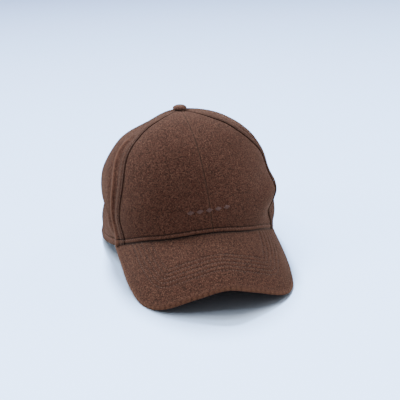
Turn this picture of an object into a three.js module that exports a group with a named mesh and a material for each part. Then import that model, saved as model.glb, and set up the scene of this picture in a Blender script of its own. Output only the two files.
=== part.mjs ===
// Peaked cap, standing on its peak corners and the back of its rim
//
// Millimetres, +Z up. The peak points to -Y and the wearer's left is +X.
// The table is z = 0. Angles go round the crown from the middle of the front,
// positive towards the wearer's left. A share v runs from 0 at the rim to 1 at
// the button.

import * as THREE from 'three';

const DEGREE = Math.PI / 180;

// Rim of the crown, an oval that rises at the front, where the peak is sewn on
const RIM_HALF_LENGTH = 97;
const RIM_HALF_WIDTH = 87.3;
const RIM_HEIGHTS = [
  { angle: -34, height: 35.9 },
  { angle: 0, height: 46.3 },
  { angle: 34, height: 35.9 },
  { angle: 67, height: 15.6 },
  { angle: 95, height: 5 },
  { angle: 135, height: 0 },
  { angle: 180, height: 0 },
];

// Where the panels meet under the button
const BUTTON_ACROSS = -4.8;
const BUTTON_BACK = 8;
const BUTTON_HEIGHT = 134.9;
const TOP_LEAN = 7.6 * DEGREE;

// How full the crown is towards the front, the sides and the back
const INWARD = { front: 1.07, side: 0.93, back: 1.06 };
const UPWARD = { front: 1.25, side: 0.67, back: 1.15 };
const BULGE = 0.027;

// Soft dents and swells of the cloth: where they are, how far they reach and
// how far they push out (mm)
const DENTS = [
  { angle: -100, height: 122, reach: 34, tall: 12, out: -7.8 },
  { angle: -100, height: 72, reach: 30, tall: 16, out: 1.8 },
  { angle: -98, height: 38, reach: 26, tall: 12, out: -3.6 },
  { angle: -98, height: 12, reach: 26, tall: 8, out: -1.7 },
  { angle: 78, height: 124, reach: 34, tall: 12, out: 1 },
  { angle: 78, height: 100, reach: 34, tall: 14, out: 1.4 },
  { angle: 78, height: 72, reach: 30, tall: 14, out: 1.4 },
  { angle: 84, height: 38, reach: 26, tall: 12, out: 1.6 },
  { angle: 58, height: 64, reach: 16, tall: 11, out: 5.4 },
  { angle: 58, height: 42, reach: 10, tall: 8, out: -3.4 },
  { angle: 83, height: 74, reach: 12, tall: 16, out: -3.8 },
];
const SWELL_CENTRE = new THREE.Vector3(0, 4, 45);
const SWELL_FADE = 6;
const TOP_CALM = 8;

// Seams between the six panels: the angle that each has reached at shares of
// the way up
const SEAMS = {
  frontCentre: [
    { up: 0, angle: 2.2 },
    { up: 0.15, angle: 1.2 },
    { up: 0.4, angle: 0.2 },
    { up: 0.7, angle: -0.5 },
    { up: 1, angle: -4 },
  ],
  frontLeft: [
    { up: 0, angle: 57 },
    { up: 0.12, angle: 57.5 },
    { up: 0.25, angle: 63 },
    { up: 0.38, angle: 66.8 },
    { up: 0.5, angle: 63.8 },
    { up: 0.6, angle: 60 },
    { up: 0.7, angle: 58 },
    { up: 0.82, angle: 50.5 },
    { up: 1, angle: 42 },
  ],
  backLeft: [
    { up: 0, angle: 121 },
    { up: 0.5, angle: 118 },
    { up: 1, angle: 121 },
  ],
  backCentre: [
    { up: 0, angle: 180 },
    { up: 1, angle: 180 },
  ],
  backRight: [
    { up: 0, angle: -121 },
    { up: 0.5, angle: -118 },
    { up: 1, angle: -121 },
  ],
  frontRight: [
    { up: 0, angle: -57 },
    { up: 0.12, angle: -62.4 },
    { up: 0.26, angle: -61.8 },
    { up: 0.45, angle: -67.3 },
    { up: 0.65, angle: -71.9 },
    { up: 0.82, angle: -63.5 },
    { up: 1, angle: -54 },
  ],
};

// Long soft folds of the side panels: how far each lies behind the front seam
// at the rim, half way up and at the top, where it begins and ends along the
// cloth, how wide it is and how far it stands out (mm)
const RIGHT_FOLDS = [
  { rim: 10.5, half: 16, top: 13, low: -12, high: 118, wide: 2.8, out: 2.2 },
  { rim: 18, half: 23, top: 22, low: 6, high: 104, wide: 4, out: -0.8 },
  { rim: 11, half: 60, top: 100, low: -6, high: 46, wide: 4, out: 1.3 },
];
const LEFT_FOLDS = [
  { rim: 10, half: 12, top: 12, low: -12, high: 124, wide: 2.8, out: 0.9 },
  { rim: 26, half: 14, top: 4, low: 8, high: 48, wide: 5, out: 0.8 },
];
const FOLD_ZONE = 17;
const FOLD_SHARE = 0.3;
const FOLD_COLUMNS = 7;
const FOLD_LOW_FADE = 12;
const FOLD_HIGH_FADE = 24;

// Cloth wall, seams, turned hem and pressed seam allowance
const WALL = 2;
const SEAM_GAP = 0.3;
const TOP_HOLE_RADIUS = 3.4;
const HEM_HEIGHT = 7.2;
const HEM_ROWS = 2;
const HEM_RAISE = 0.7;
const STRIP_WIDTH = 7.5;
const STRIP_RAISE = 1;
const STRIP_EDGE = 0.9;
const STRIP_SHARE = 0.3;
const STRIP_FADE_ROWS = 4;

// Peak: half of its outer edge from the middle outwards. Behind is measured
// from the foremost point, height from the table to the middle of the edge.
const PEAK_LENGTH = 62.8;
const PEAK_EDGE = [
  { across: 0, behind: 0, height: 22.3 },
  { across: 26.9, behind: 2.7, height: 15.5 },
  { across: 57.2, behind: 10.8, height: 4.4 },
  { across: 70.9, behind: 26, height: 0.9 },
  { across: 78.3, behind: 54.8, height: 3.8 },
];
const PEAK_END_ANGLE = 67;
const PEAK_END_OUT = 1;
const PEAK_THICK = 3.2;
const PEAK_GAP = 0.3;
const PEAK_LIFT = 0.8;
const PEAK_CROWNING = 3.5;
const LIP_TURN = 0.9;
const LIP_SHARE = 0.25;

// Button: a cloth-covered dome with a short shank through the panels
const BUTTON_RADIUS = 7;
const BUTTON_DOME = 4.6;
const BUTTON_BASE_EDGE = 1.1;
const BUTTON_FULLNESS = 0.8;
const BUTTON_GAP = 0.2;
const SHANK_RADIUS = 2.4;
const SHANK_LENGTH = 3;

// Fineness of the surfaces
const PANEL_COLUMNS = 11;
const COLUMNS_BEYOND_FOLDS = 7;
const PANEL_ROWS = 20;
const PEAK_COLUMNS = 40;
const PEAK_ROWS = 10;
const EDGE_STEPS = 3;
const BUTTON_SEGMENTS = 28;
const BUTTON_STEPS = 7;
const NUDGE = 1e-4;
const BISECTIONS = 24;
const PLACE_PASSES = 3;

const mix = (from, to, share) => from + (to - from) * share;

// A value that blends from front to side to back
function aroundBlend(amounts, angle) {
  const { front, side, back } = amounts;
  const mean = (front + 2 * side + back) / 4;
  const sway = (front - back) / 2;
  const pinch = (front - 2 * side + back) / 4;
  return mean + sway * Math.cos(angle) + pinch * Math.cos(2 * angle);
}

// Slopes of a curve through table rows that never overshoots them
function gentleSlopes(rows, place, amount) {
  const gaps = rows.slice(1).map((row, i) => row[place] - rows[i][place]);
  const rises = gaps.map((gap, i) => (rows[i + 1][amount] - rows[i][amount]) / gap);
  return rows.map((row, i) => {
    if (i === 0 || i === rows.length - 1 || rises[i - 1] * rises[i] <= 0) {
      return 0;
    }
    const before = 2 * gaps[i] + gaps[i - 1];
    const after = gaps[i] + 2 * gaps[i - 1];
    return (before + after) / (before / rises[i - 1] + after / rises[i]);
  });
}

// A function that reads the curve through table rows
function gentleCurve(rows, place, amount) {
  const slopes = gentleSlopes(rows, place, amount);
  return (at) => {
    let i = 0;
    while (i < rows.length - 2 && at > rows[i + 1][place]) {
      i += 1;
    }
    const low = rows[i];
    const high = rows[i + 1];
    const span = high[place] - low[place];
    const t = (at - low[place]) / span;
    const t2 = t * t;
    const t3 = t2 * t;
    const fromLow = (2 * t3 - 3 * t2 + 1) * low[amount] + (t3 - 2 * t2 + t) * span * slopes[i];
    const fromHigh = (3 * t2 - 2 * t3) * high[amount] + (t3 - t2) * span * slopes[i + 1];
    return fromLow + fromHigh;
  };
}

const rimHeightAt = gentleCurve(RIM_HEIGHTS, 'angle', 'height');

// Height of the rim above the table
function rimHeight(angle) {
  const turned = ((angle / DEGREE + 180) % 360 + 360) % 360 - 180;
  return rimHeightAt(Math.abs(turned));
}

function rimPoint(angle) {
  const across = RIM_HALF_WIDTH * Math.sin(angle);
  const along = -RIM_HALF_LENGTH * Math.cos(angle);
  return new THREE.Vector3(across, along, rimHeight(angle));
}

// How far the cloth is pushed out at an angle and a height
function swell(angle, height) {
  let out = 0;
  for (const dent of DENTS) {
    const turn = ((angle / DEGREE - dent.angle + 180) % 360 + 360) % 360 - 180;
    const side = (turn / dent.reach) ** 2;
    const up = ((height - dent.height) / dent.tall) ** 2;
    out += dent.out * Math.exp(-side - up);
  }
  return out;
}

// Outer face of the crown
function crownPoint(angle, v) {
  const rim = rimPoint(angle);
  const flat = Math.cos(v * Math.PI / 2);
  const steep = Math.sin(v * Math.PI / 2);
  const inward = flat ** aroundBlend(INWARD, angle) + BULGE * 4 * v * (1 - v) * flat;
  const upward = steep ** aroundBlend(UPWARD, angle);
  const back = (rim.y - BUTTON_BACK) * inward;
  const point = new THREE.Vector3(
    BUTTON_ACROSS + (rim.x - BUTTON_ACROSS) * inward,
    BUTTON_BACK + back,
    rim.z + (BUTTON_HEIGHT - rim.z) * upward - Math.tan(TOP_LEAN) * back * upward,
  );
  const outward = point.clone().sub(SWELL_CENTRE);
  outward.z = Math.max(0, outward.z);
  const fade = Math.min(1, (point.z - rim.z) / SWELL_FADE) * (1 - v ** TOP_CALM);
  return point.addScaledVector(outward.normalize(), swell(angle, point.z) * fade);
}

function crownNormal(angle, v) {
  const at = THREE.MathUtils.clamp(v, 2 * NUDGE, 1 - 2 * NUDGE);
  const round = crownPoint(angle + NUDGE, at).sub(crownPoint(angle - NUDGE, at));
  const up = crownPoint(angle, at + NUDGE).sub(crownPoint(angle, at - NUDGE));
  return round.cross(up).normalize();
}

// A seam as a function from the share of the way up to its angle
function seamCurve(rows, turn = 0) {
  const angleAt = gentleCurve(rows, 'up', 'angle');
  return (v) => (angleAt(v) + turn) * DEGREE;
}

// 1 before a place and 0 after it, with a soft change between
function stepDown(distance, at, width) {
  const share = THREE.MathUtils.clamp((distance - at) / width + 0.5, 0, 1);
  return 1 - share * share * (3 - 2 * share);
}

// How far the folds push out the cloth at a place behind the seam and up the panel
function foldRelief(folds, behind, up, length) {
  const share = up / length;
  let out = 0;
  for (const fold of folds) {
    const low = fold.rim * (1 - share) * (1 - 2 * share);
    const middle = fold.half * 4 * share * (1 - share);
    const line = low + middle + fold.top * share * (2 * share - 1);
    const rise = 1 - stepDown(up, fold.low, FOLD_LOW_FADE);
    const fade = stepDown(up, fold.high, FOLD_HIGH_FADE) * rise;
    out += fold.out * fade * Math.exp(-(((behind - line) / fold.wide) ** 2));
  }
  return out;
}

// Share v at which a line up the crown is a given distance from its rim end
function shareAtDistance(angle, distance) {
  const start = crownPoint(angle, 0);
  let low = 0;
  let high = 1;
  for (let i = 0; i < BISECTIONS; i += 1) {
    const middle = (low + high) / 2;
    if (crownPoint(angle, middle).distanceTo(start) < distance) {
      low = middle;
    } else {
      high = middle;
    }
  }
  return (low + high) / 2;
}

// Share v at which a line up the crown is a given distance from the button
function shareNearTop(angle, distance) {
  const top = crownPoint(angle, 1);
  let low = 0.5;
  let high = 1;
  for (let i = 0; i < BISECTIONS; i += 1) {
    const middle = (low + high) / 2;
    if (crownPoint(angle, middle).distanceTo(top) > distance) {
      low = middle;
    } else {
      high = middle;
    }
  }
  return (low + high) / 2;
}

// Rows of a panel: the rim, both sides of the hem's step, then evenly to the top
function rowShare(angle, row) {
  if (row === 0) {
    return 0;
  }
  if (row === 1) {
    return shareAtDistance(angle, HEM_HEIGHT);
  }
  const hemEnd = shareAtDistance(angle, HEM_HEIGHT + STRIP_EDGE);
  return mix(hemEnd, shareNearTop(angle, TOP_HOLE_RADIUS), (row - 2) / (PANEL_ROWS - 2));
}

// Columns of a panel as offsets from its two seams. A strip is a pressed seam
// allowance that lies beside the panel's first or last seam, and the zone behind
// it has closer columns for the folds.
function panelColumns(strip) {
  const columns = [];
  if (!strip) {
    for (let i = 0; i <= PANEL_COLUMNS; i += 1) {
      columns.push({ strip: 0, edge: 0, zone: 0, share: i / PANEL_COLUMNS, raise: 0 });
    }
    return columns;
  }
  columns.push({ strip: 0, edge: 0, zone: 0, share: 0, raise: 1 });
  columns.push({ strip: 1, edge: 0, zone: 0, share: 0, raise: 1 });
  for (let i = 0; i <= FOLD_COLUMNS; i += 1) {
    columns.push({ strip: 1, edge: 1, zone: i / FOLD_COLUMNS, share: 0, raise: 0 });
  }
  for (let i = 1; i <= COLUMNS_BEYOND_FOLDS; i += 1) {
    columns.push({ strip: 1, edge: 1, zone: 1, share: i / COLUMNS_BEYOND_FOLDS, raise: 0 });
  }
  return columns;
}

// Closed shells from a grid of outer points and a matching grid of inner ones

function shellMesh(name, outer, inner, colour) {
  const columns = outer.length;
  const rows = outer[0].length;
  const positions = [];
  const index = [];
  for (const grid of [outer, inner]) {
    for (const line of grid) {
      for (const point of line) {
        positions.push(point.x, point.y, point.z);
      }
    }
  }
  const out = (c, r) => c * rows + r;
  const inn = (c, r) => columns * rows + c * rows + r;
  const quad = (a, b, c, d) => {
    index.push(a, b, c, a, c, d);
  };
  for (let c = 0; c < columns - 1; c += 1) {
    for (let r = 0; r < rows - 1; r += 1) {
      quad(out(c, r), out(c + 1, r), out(c + 1, r + 1), out(c, r + 1));
      quad(inn(c, r), inn(c, r + 1), inn(c + 1, r + 1), inn(c + 1, r));
    }
    quad(out(c, 0), inn(c, 0), inn(c + 1, 0), out(c + 1, 0));
    quad(out(c, rows - 1), out(c + 1, rows - 1), inn(c + 1, rows - 1), inn(c, rows - 1));
  }
  for (let r = 0; r < rows - 1; r += 1) {
    quad(out(0, r), out(0, r + 1), inn(0, r + 1), inn(0, r));
    quad(out(columns - 1, r), inn(columns - 1, r), inn(columns - 1, r + 1), out(columns - 1, r + 1));
  }
  return solidMesh(name, positions, index, colour);
}

function solidMesh(name, positions, index, colour) {
  const geometry = new THREE.BufferGeometry();
  geometry.setAttribute('position', new THREE.Float32BufferAttribute(positions, 3));
  geometry.setIndex(index);
  const material = new THREE.MeshStandardMaterial({ color: colour, roughness: 0.95 });
  const mesh = new THREE.Mesh(geometry, material);
  mesh.name = name;
  return mesh;
}

// Crown panels, from their first seam to their second in rising angle

function panelMesh(name, first, second, stripSide, folds, colour) {
  const columns = panelColumns(stripSide !== 'none');
  if (stripSide === 'second') {
    columns.reverse();
  }
  const foldSeam = stripSide === 'second' ? second : first;
  const outer = [];
  const inner = [];
  for (const column of columns) {
    const places = [];
    for (let row = 0; row <= PANEL_ROWS; row += 1) {
      places.push(panelPlace(first, second, stripSide, column, row));
    }
    const surfaces = places.map((place) => crownPoint(place.angle, place.v));
    const ups = [0];
    for (let row = 1; row <= PANEL_ROWS; row += 1) {
      ups.push(ups[row - 1] + surfaces[row].distanceTo(surfaces[row - 1]));
    }
    const outerLine = [];
    const innerLine = [];
    for (let row = 0; row <= PANEL_ROWS; row += 1) {
      const place = places[row];
      const surface = surfaces[row];
      const normal = crownNormal(place.angle, place.v);
      const behind = crownPoint(foldSeam(place.v), place.v).distanceTo(surface);
      const fold = foldRelief(folds, behind, ups[row], ups[PANEL_ROWS]);
      const stripRaise = column.raise * STRIP_RAISE * Math.min(1, (PANEL_ROWS - row) / STRIP_FADE_ROWS);
      const raise = row < HEM_ROWS ? HEM_RAISE : stripRaise + fold;
      const sink = row < HEM_ROWS ? -WALL : fold - WALL;
      const outside = surface.clone().addScaledVector(normal, raise);
      const inside = surface.clone().addScaledVector(normal, sink);
      if (row === 0) {
        outside.z = surface.z;
        inside.z = surface.z;
      }
      outerLine.push(outside);
      innerLine.push(inside);
    }
    outer.push(outerLine);
    inner.push(innerLine);
  }
  return shellMesh(name, outer, inner, colour);
}

// Angle and share of one grid point, a seam gap inside the panel's seams
function panelPlace(first, second, stripSide, column, row) {
  let v = row / PANEL_ROWS;
  let angle = 0;
  for (let pass = 0; pass < PLACE_PASSES; pass += 1) {
    const from = first(v);
    const to = second(v);
    const middle = (from + to) / 2;
    const ahead = crownPoint(middle + NUDGE, v);
    const perRadian = ahead.distanceTo(crownPoint(middle - NUDGE, v)) / (2 * NUDGE);
    const gap = SEAM_GAP / 2 / perRadian;
    const strip = Math.min(STRIP_WIDTH / perRadian, STRIP_SHARE * (to - from));
    const edge = STRIP_EDGE / STRIP_WIDTH * strip;
    const zone = Math.min(FOLD_ZONE / perRadian, FOLD_SHARE * (to - from));
    const low = from + gap;
    const high = to - gap;
    const offset = column.strip * strip + column.edge * edge + column.zone * zone;
    angle = stripSide === 'second'
      ? mix(high - offset, low, column.share)
      : mix(low + offset, high, column.share);
    v = rowShare(angle, row);
  }
  return { angle, v };
}

// Peak: its top runs from the crown's rim to a smooth outer edge

function peakEdgeCurve() {
  const end = rimPoint(PEAK_END_ANGLE * DEGREE);
  const foremost = -RIM_HALF_LENGTH - PEAK_LENGTH;
  const half = PEAK_EDGE.map((row) => new THREE.Vector3(row.across, foremost + row.behind, row.height));
  half.push(new THREE.Vector3(end.x + PEAK_END_OUT, end.y, end.z));
  const mirrored = half.slice(1).map((point) => new THREE.Vector3(-point.x, point.y, point.z));
  return new THREE.CatmullRomCurve3([...mirrored.reverse(), ...half], false, 'centripetal');
}

function peakMesh(name, colour) {
  const edge = peakEdgeCurve();
  const outer = [];
  const inner = [];
  for (let c = 0; c <= PEAK_COLUMNS; c += 1) {
    const across = c / PEAK_COLUMNS;
    const angle = mix(-PEAK_END_ANGLE, PEAK_END_ANGLE, across) * DEGREE;
    const beside = shareAtDistance(angle, PEAK_LIFT + PEAK_THICK / 2);
    const outward = crownNormal(angle, beside).setZ(0).normalize();
    const root = crownPoint(angle, beside).addScaledVector(outward, HEM_RAISE + PEAK_GAP);
    root.z = rimHeight(angle) + PEAK_LIFT;
    const tip = edge.getPointAt(across);
    const topLine = [];
    const bottomLine = [];
    const reach = root.distanceTo(tip);
    for (let r = 0; r <= PEAK_ROWS + EDGE_STEPS; r += 1) {
      const place = peakPlace(r, reach);
      const point = root.clone().lerp(tip, place.share);
      point.z += PEAK_CROWNING * 4 * place.share * (1 - place.share) * Math.min(1, reach / PEAK_LENGTH);
      const half = PEAK_THICK / 2 * place.thickness;
      topLine.push(point.clone().setZ(point.z + half));
      bottomLine.push(point.clone().setZ(point.z - half));
    }
    outer.push(topLine);
    inner.push(bottomLine);
  }
  outer.reverse();
  inner.reverse();
  return shellMesh(name, outer, inner, colour);
}

// Share of the way out and thickness share: full, then rounded at the lip
function peakPlace(row, reach) {
  const lip = Math.min(PEAK_THICK / 2 / reach, LIP_SHARE);
  if (row <= PEAK_ROWS) {
    return { share: (1 - lip) * row / PEAK_ROWS, thickness: 1 };
  }
  const turn = (row - PEAK_ROWS) / EDGE_STEPS * Math.PI / 2 * LIP_TURN;
  return { share: 1 - lip + lip * Math.sin(turn), thickness: Math.cos(turn) };
}

// Button, turned about its own axis and set square on the crown

function buttonMesh(name, colour) {
  const profile = [
    new THREE.Vector2(0, -SHANK_LENGTH),
    new THREE.Vector2(SHANK_RADIUS, -SHANK_LENGTH),
    new THREE.Vector2(SHANK_RADIUS, 0),
    new THREE.Vector2(BUTTON_RADIUS - BUTTON_BASE_EDGE, 0),
  ];
  for (let i = 0; i < BUTTON_STEPS; i += 1) {
    const turn = i / BUTTON_STEPS * Math.PI / 2;
    const height = BUTTON_BASE_EDGE + (BUTTON_DOME - BUTTON_BASE_EDGE) * Math.sin(turn);
    profile.push(new THREE.Vector2(BUTTON_RADIUS * Math.cos(turn) ** BUTTON_FULLNESS, height));
  }
  profile.push(new THREE.Vector2(0, BUTTON_DOME));
  const positions = [];
  const index = [];
  const last = profile.length - 1;
  positions.push(0, 0, profile[0].y, 0, 0, profile[last].y);
  const ring = (row, step) => 2 + (row - 1) * BUTTON_SEGMENTS + (step % BUTTON_SEGMENTS);
  for (let row = 1; row < last; row += 1) {
    for (let step = 0; step < BUTTON_SEGMENTS; step += 1) {
      const turn = step / BUTTON_SEGMENTS * 2 * Math.PI;
      positions.push(profile[row].x * Math.cos(turn), profile[row].x * Math.sin(turn), profile[row].y);
    }
  }
  for (let step = 0; step < BUTTON_SEGMENTS; step += 1) {
    index.push(0, ring(1, step + 1), ring(1, step));
    index.push(1, ring(last - 1, step), ring(last - 1, step + 1));
    for (let row = 1; row < last - 1; row += 1) {
      index.push(ring(row, step), ring(row, step + 1), ring(row + 1, step + 1));
      index.push(ring(row, step), ring(row + 1, step + 1), ring(row + 1, step));
    }
  }
  const mesh = solidMesh(name, positions, index, colour);
  mesh.geometry.applyMatrix4(buttonSeat());
  return mesh;
}

// Place of the button: its foot just clears the highest cloth under its rim
function buttonSeat() {
  const top = crownPoint(0, 1);
  const axis = new THREE.Vector3(0, Math.sin(TOP_LEAN), Math.cos(TOP_LEAN));
  let highest = -Infinity;
  for (let step = 0; step < BUTTON_SEGMENTS; step += 1) {
    const angle = step / BUTTON_SEGMENTS * 2 * Math.PI;
    for (const distance of [TOP_HOLE_RADIUS, BUTTON_RADIUS]) {
      const point = crownPoint(angle, shareNearTop(angle, distance));
      highest = Math.max(highest, point.sub(top).dot(axis));
    }
  }
  const seat = top.addScaledVector(axis, highest + BUTTON_GAP);
  const turn = new THREE.Quaternion().setFromUnitVectors(new THREE.Vector3(0, 0, 1), axis);
  return new THREE.Matrix4().compose(seat, turn, new THREE.Vector3(1, 1, 1));
}

const FELT_BROWN = 0x5c4036;
const PEAK_BROWN = 0x5a3e33;
const BUTTON_BROWN = 0x644639;

const cap = new THREE.Group();
cap.name = 'peaked_cap';
const frontCentre = seamCurve(SEAMS.frontCentre);
const frontLeft = seamCurve(SEAMS.frontLeft);
const backLeft = seamCurve(SEAMS.backLeft);
const backCentre = seamCurve(SEAMS.backCentre);
const backCentreAgain = seamCurve(SEAMS.backCentre, -360);
const backRight = seamCurve(SEAMS.backRight);
const frontRight = seamCurve(SEAMS.frontRight);
cap.add(panelMesh('front_panel_right', frontRight, frontCentre, 'none', [], FELT_BROWN));
cap.add(panelMesh('front_panel_left', frontCentre, frontLeft, 'none', [], FELT_BROWN));
cap.add(panelMesh('side_panel_left', frontLeft, backLeft, 'first', LEFT_FOLDS, FELT_BROWN));
cap.add(panelMesh('back_panel_left', backLeft, backCentre, 'none', [], FELT_BROWN));
cap.add(panelMesh('back_panel_right', backCentreAgain, backRight, 'none', [], FELT_BROWN));
cap.add(panelMesh('side_panel_right', backRight, frontRight, 'second', RIGHT_FOLDS, FELT_BROWN));
cap.add(peakMesh('peak', PEAK_BROWN));
cap.add(buttonMesh('top_button', BUTTON_BROWN));

// The origin is on the table, under the middle of the whole cap
const box = new THREE.Box3().setFromObject(cap);
const middle = box.getCenter(new THREE.Vector3());
for (const piece of cap.children) {
  piece.geometry.translate(-middle.x, -middle.y, -box.min.z);
}

export default cap;
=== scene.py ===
# %% [markdown]
# # A peaked wool cap
# This lesson dresses a plain model of a peaked cap in cloth: six sewn crown
# panels, a boarded peak with rows of stitching, and a covered button. The plain
# model gives every size and place. Here each piece gets its seams, folds,
# stitches and wool.

# %% Load the plain model
import math

import bmesh
import bpy
import numpy as np
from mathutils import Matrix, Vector


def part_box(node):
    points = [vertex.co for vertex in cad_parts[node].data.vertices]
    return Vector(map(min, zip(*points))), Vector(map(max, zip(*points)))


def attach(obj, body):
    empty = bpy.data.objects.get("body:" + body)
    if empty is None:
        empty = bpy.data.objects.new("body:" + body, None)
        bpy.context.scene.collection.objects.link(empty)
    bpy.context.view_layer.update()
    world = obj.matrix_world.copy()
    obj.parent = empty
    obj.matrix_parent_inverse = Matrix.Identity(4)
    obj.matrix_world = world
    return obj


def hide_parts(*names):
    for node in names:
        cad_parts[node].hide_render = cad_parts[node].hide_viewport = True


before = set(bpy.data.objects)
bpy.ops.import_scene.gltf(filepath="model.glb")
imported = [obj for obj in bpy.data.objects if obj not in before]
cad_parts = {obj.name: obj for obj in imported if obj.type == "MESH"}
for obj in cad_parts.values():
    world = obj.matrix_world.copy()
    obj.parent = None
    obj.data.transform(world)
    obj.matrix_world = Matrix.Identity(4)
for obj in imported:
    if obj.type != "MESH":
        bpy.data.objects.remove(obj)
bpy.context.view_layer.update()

MM = 0.001

# %% [markdown]
# ## The crown as a formula
# A sewn crown is a soft dome on an oval rim. The rim rises at the front, where
# the peak pushes it up, and the top leans back a little. One formula gives any
# point of the outer face from an angle round the head and a share of the way
# up, so panels, seams and stitches always agree with each other. Sizes are in
# millimetres, measured from the middle of the rim on the table.

# %% Sizes of the crown
RIM_HALF_LENGTH = 97.0
RIM_HALF_WIDTH = 87.3
RIM_ANGLES = np.array([-34.0, 0.0, 34.0, 67.0, 95.0, 135.0, 180.0])
RIM_HEIGHTS = np.array([35.9, 46.3, 35.9, 15.6, 5.0, 0.0, 0.0])
BUTTON_PLACE = np.array([-4.8, 8.0, 134.9])
TOP_LEAN = math.radians(7.6)
INWARD = dict(front=1.07, side=0.93, back=1.06)
UPWARD = dict(front=1.25, side=0.67, back=1.15)
BULGE = 0.027
SWELL_CENTRE = np.array([0.0, 4.0, 45.0])
SWELL_FADE = 6.0
TOP_CALM = 8
RIM_TO_ORIGIN = np.array([-0.39, 30.95, 0.0])
NUDGE = 1e-4
NEARLY_ZERO = 1e-12

DENTS = (
    dict(angle=-100, height=122, reach=34, tall=12, out=-7.8),
    dict(angle=-100, height=72, reach=30, tall=16, out=1.8),
    dict(angle=-98, height=38, reach=26, tall=12, out=-3.6),
    dict(angle=-98, height=12, reach=26, tall=8, out=-1.7),
    dict(angle=78, height=124, reach=34, tall=12, out=1.0),
    dict(angle=78, height=100, reach=34, tall=14, out=1.4),
    dict(angle=78, height=72, reach=30, tall=14, out=1.4),
    dict(angle=84, height=38, reach=26, tall=12, out=1.6),
    dict(angle=58, height=64, reach=16, tall=11, out=5.4),
    dict(angle=58, height=42, reach=10, tall=8, out=-3.4),
    dict(angle=83, height=74, reach=12, tall=16, out=-3.8),
)


# %% The crown's outer face
def around_blend(amounts, angle):
    front, side, back = amounts["front"], amounts["side"], amounts["back"]
    sway = (front - back) / 2 * np.cos(angle)
    pinch = (front - 2 * side + back) / 4 * np.cos(2 * angle)
    return (front + 2 * side + back) / 4 + sway + pinch


def gentle_curve(xs, ys, at):
    """A curve through points that never overshoots them."""
    xs, ys = np.asarray(xs, float), np.asarray(ys, float)
    gaps = np.diff(xs)
    rises = np.diff(ys) / gaps
    slopes = np.zeros(len(xs))
    for i in range(1, len(xs) - 1):
        if rises[i - 1] * rises[i] > 0:
            before, after = 2 * gaps[i] + gaps[i - 1], gaps[i] + 2 * gaps[i - 1]
            slopes[i] = (before + after) / (before / rises[i - 1] + after / rises[i])
    i = np.clip(np.searchsorted(xs, at, side="right") - 1, 0, len(xs) - 2)
    t = (at - xs[i]) / gaps[i]
    low = (2 * t**3 - 3 * t**2 + 1) * ys[i] + (t**3 - 2 * t**2 + t) * gaps[i] * slopes[i]
    high = (3 * t**2 - 2 * t**3) * ys[i + 1] + (t**3 - t**2) * gaps[i] * slopes[i + 1]
    return low + high


def turn_between(angle, middle):
    """Degrees from a middle angle, between -180 and 180."""
    return (np.degrees(angle) - middle + 180) % 360 - 180


def rim_point(angle):
    height = gentle_curve(RIM_ANGLES, RIM_HEIGHTS, np.abs(turn_between(angle, 0)))
    return np.stack([RIM_HALF_WIDTH * np.sin(angle), -RIM_HALF_LENGTH * np.cos(angle), height], -1)


def swell(angle, height):
    out = np.zeros(np.broadcast(angle, height).shape)
    for dent in DENTS:
        side = turn_between(angle, dent["angle"]) / dent["reach"]
        up = (height - dent["height"]) / dent["tall"]
        out += dent["out"] * np.exp(-(side**2) - up**2)
    return out


def crown(angle, v):
    """Points of the outer face. v runs from 0 at the rim to 1 under the button."""
    rim = rim_point(angle)
    flat, steep = np.cos(v * np.pi / 2), np.sin(v * np.pi / 2)
    inward = flat ** around_blend(INWARD, angle) + BULGE * 4 * v * (1 - v) * flat
    upward = steep ** around_blend(UPWARD, angle)
    across = (rim[..., 0] - BUTTON_PLACE[0]) * inward
    back = (rim[..., 1] - BUTTON_PLACE[1]) * inward
    height = rim[..., 2] + (BUTTON_PLACE[2] - rim[..., 2]) * upward
    height = height - math.tan(TOP_LEAN) * back * upward
    point = np.stack([BUTTON_PLACE[0] + across, BUTTON_PLACE[1] + back, height], -1)
    outward = point - SWELL_CENTRE
    outward[..., 2] = np.maximum(0, outward[..., 2])
    outward /= np.linalg.norm(outward, axis=-1, keepdims=True)
    fade = np.minimum(1, (height - rim[..., 2]) / SWELL_FADE) * (1 - v**TOP_CALM)
    return point + outward * (swell(angle, height) * fade)[..., None]


def unit(vectors):
    return vectors / np.maximum(np.linalg.norm(vectors, axis=-1, keepdims=True), NEARLY_ZERO)


def crown_normal(angle, v):
    at = np.clip(v, 2 * NUDGE, 1 - 2 * NUDGE)
    around = crown(angle + NUDGE, at) - crown(angle - NUDGE, at)
    up = crown(angle, at + NUDGE) - crown(angle, at - NUDGE)
    return unit(np.cross(around, up))


print("rim, front to back, mm:", rim_point(np.radians(np.arange(0, 181, 45))).round(1).tolist())

# %% [markdown]
# ## Wool cloth
# Brushed wool is never one colour. Dark and pale fibres are mixed before they
# are spun, so the cloth is flecked, a little cloudy, and paler wherever its nap
# stands up or has been rubbed. The material mixes three sizes of noise for that,
# and a fourth, stretched two ways, draws short fibres. The soft shine at the
# edge of each form comes from sheen. Two attributes on the mesh paint light and
# shade into the colour: painted shade in creases and grooves, and paler cloth
# on ridges and edges, partly rubbed wear and partly painted highlight. A few
# helpers keep the building of nodes short.

# %% Node helpers
NODE_STEP = 200


def feed(tree, node, feeds):
    """Sets inputs, by name or number, to a value, an opaque colour or a socket to read."""
    for key, value in feeds.items():
        named = [socket for socket in node.inputs if socket.enabled and socket.name == key]
        socket = named[0] if named else node.inputs[key]
        if isinstance(value, bpy.types.NodeSocket):
            tree.links.new(value, socket)
        else:
            socket.default_value = (*value, 1) if socket.type == "RGBA" else value


def add_node(tree, kind, feeds=None, **settings):
    """Adds a node to the right of the last one."""
    node = tree.nodes.new(kind)
    node.location = (NODE_STEP * len(tree.nodes), 0)
    for key, value in settings.items():
        setattr(node, key, value)
    feed(tree, node, feeds or {})
    return node


def live_output(node):
    """The output in use, of a node that has one for each type of data."""
    return next(socket for socket in node.outputs if socket.enabled)


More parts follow.
